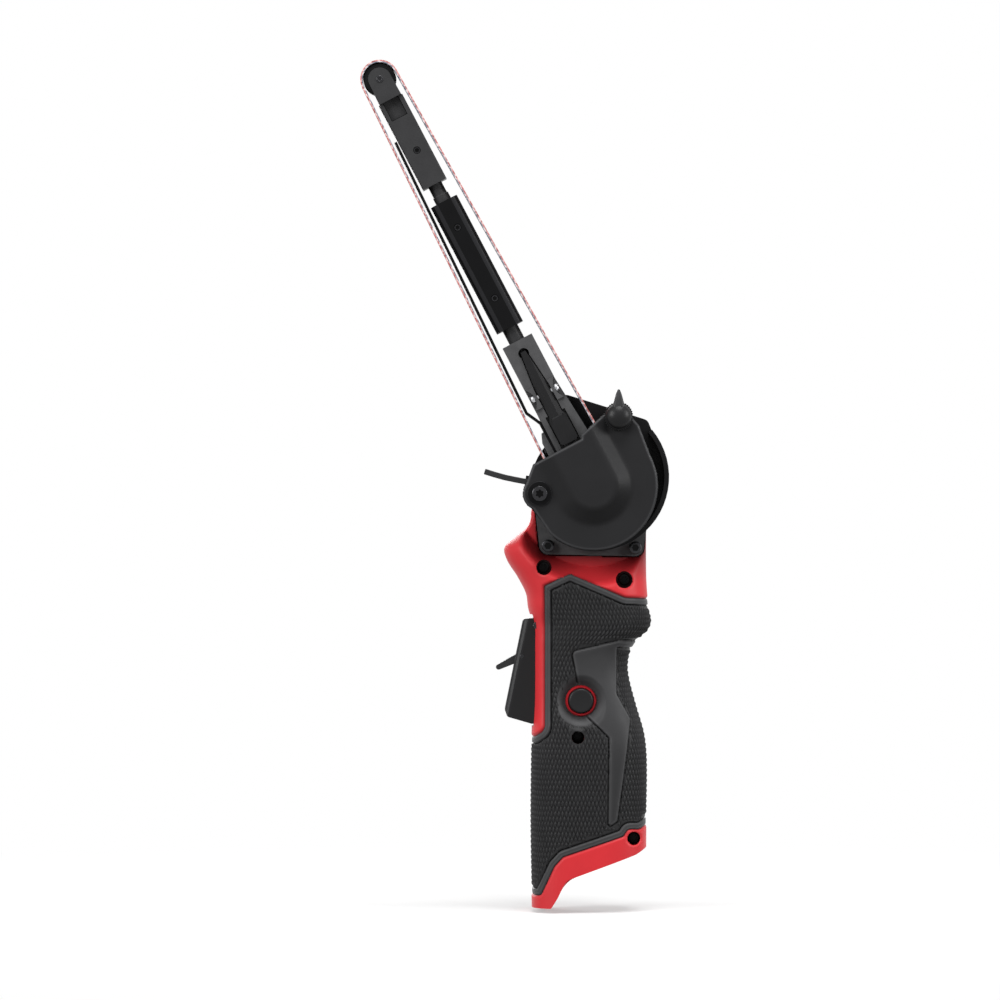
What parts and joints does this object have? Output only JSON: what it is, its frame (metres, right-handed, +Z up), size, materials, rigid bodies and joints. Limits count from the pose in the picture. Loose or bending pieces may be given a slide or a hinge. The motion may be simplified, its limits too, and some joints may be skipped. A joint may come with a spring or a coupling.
{
  "type": "power file",
  "caption": "Cordless power file: a narrow sanding belt on a sprung slender arm, carried by a swivelling guarded head on a moulded grip with a paddle trigger and a stick battery socket.",
  "frame": {"origin": "on the handle's axis at the mouth of the battery socket, level with the toe", "axes": "+Z up the handle, -X towards the trigger, -Y out of the belt and cover side"},
  "size_m": [0.1312, 0.0581, 0.3609],
  "materials": {
    "housing": "satin moulded nylon",
    "grip_rubber": "matte moulded rubber with a scale texture",
    "guard_plastic": "fine matte texture",
    "trigger_plastic": "satin",
    "cast_metal": "blasted casting",
    "black_metal": "black anodised",
    "dark_steel": "black oxide",
    "steel": "ground",
    "copper": "drawn",
    "board": "coated board",
    "sanding_belt": "coated abrasive on cloth"
  },
  "bodies": {
    "handle": {"left_shell": "housing", "right_shell": "housing", "left_grip": "grip_rubber", "right_grip": "grip_rubber", "shell_screws": "dark_steel", "gear_case": "cast_metal", "gear_case_screws": "dark_steel", "swivel_retainer": "steel", "retainer_screws": "dark_steel", "stator": "dark_steel", "stator_windings": "copper", "motor_bearings": "steel", "spindle_bearings": "steel", "control_board": "board", "switch_body": "trigger_plastic", "terminal_block": "trigger_plastic", "battery_contacts": "copper", "button_bezel": "housing", "paddle_pin": "steel"},
    "trigger": {"paddle": "trigger_plastic", "lock_lever_pin": "steel"},
    "lock_off": {"lock_off_lever": "dark_steel"},
    "direction_button": {"shuttle_button": "trigger_plastic"},
    "drive_spindle": {"spindle": "steel", "bevel_gear": "steel", "drive_pulley": "steel", "pulley_screw": "dark_steel"},
    "rotor": {"rotor_core": "dark_steel", "rotor_shaft": "steel", "bevel_pinion": "steel", "motor_fan": "guard_plastic"},
    "head": {"guard_back": "guard_plastic", "cover_pivot_screw": "dark_steel", "pivot_washer": "dark_steel", "arm_base": "cast_metal", "arm_screws": "dark_steel", "platen": "black_metal", "platen_clamp": "cast_metal", "platen_screws": "dark_steel", "spark_flap": "grip_rubber", "abrasive_belt": "sanding_belt", "latch_pin": "steel", "tension_spring": "steel"},
    "cover": {"guard_cover": "guard_plastic"},
    "knob": {"cover_knob": "guard_plastic"},
    "latch": {"tension_latch": "black_metal"},
    "sliding_arm": {"arm_rod": "dark_steel", "arm_bar": "black_metal", "bar_screws": "dark_steel", "tip_block": "dark_steel", "tip_block_screw": "dark_steel", "tip_fork": "dark_steel", "roller_axle": "steel"},
    "roller": {"tip_roller": "dark_steel"}
  },
  "joints": [
    {"name": "head_swivel", "type": "hinge", "parent": "handle", "child": "head", "pos_m": [0.0013, 0, 0.18], "axis": [0, 1, 0], "range_deg": [-30, 60]},
    {"name": "spindle_spin", "type": "hinge", "parent": "handle", "child": "drive_spindle", "pos_m": [0.0013, 0, 0.18], "axis": [0, 1, 0], "continuous": true},
    {"name": "rotor_spin", "type": "hinge", "parent": "handle", "child": "rotor", "pos_m": [0.0013, 0, 0.14], "axis": [0, 0, 1], "continuous": true},
    {"name": "arm_slide", "type": "slide", "parent": "head", "child": "sliding_arm", "axis": [-0.4648, 0, 0.8854], "range_m": [-0.005, 0], "stiffness_N_per_m": 300, "springref_m": 0.03, "deforming": ["tension_spring"]},
    {"name": "roller_spin", "type": "hinge", "parent": "sliding_arm", "child": "roller", "pos_m": [-0.08936, -0.0195, 0.35268], "axis": [0, 1, 0], "continuous": true},
    {"name": "latch_rock", "type": "hinge", "parent": "head", "child": "latch", "pos_m": [-0.01929, -0.0259, 0.21922], "axis": [0.8854, 0, 0.4648], "range_deg": [0, 5], "stiffness_Nm_per_rad": 0.2, "springref_deg": -5.73},
    {"name": "cover_swing", "type": "hinge", "parent": "head", "child": "cover", "pos_m": [-0.02149, -0.028, 0.17673], "axis": [0, 1, 0], "range_deg": [0, 90]},
    {"name": "knob_turn", "type": "hinge", "parent": "head", "child": "knob", "pos_m": [0.01199, -0.0291, 0.20955], "axis": [0, 1, 0], "range_deg": [-90, 0]},
    {"name": "trigger_press", "type": "hinge", "parent": "handle", "child": "trigger", "pos_m": [-0.0226, 0, 0.1205], "axis": [0, -1, 0], "range_deg": [0, 5.5], "stiffness_Nm_per_rad": 0.6, "springref_deg": -5.73},
    {"name": "lock_lever_swing", "type": "hinge", "parent": "trigger", "child": "lock_off", "pos_m": [-0.0289, 0, 0.1073], "axis": [0, 1, 0], "range_deg": [0, 35], "stiffness_Nm_per_rad": 0.02, "springref_deg": -17.19},
    {"name": "button_shift", "type": "slide", "parent": "handle", "child": "direction_button", "axis": [0, 1, 0], "range_m": [-0.002, 0.002]}
  ],
  "couplings": [
    {"joint": "rotor_spin", "follows": "spindle_spin", "ratio": 1.6364},
    {"joint": "roller_spin", "follows": "spindle_spin", "ratio": 1.7419}
  ]
}
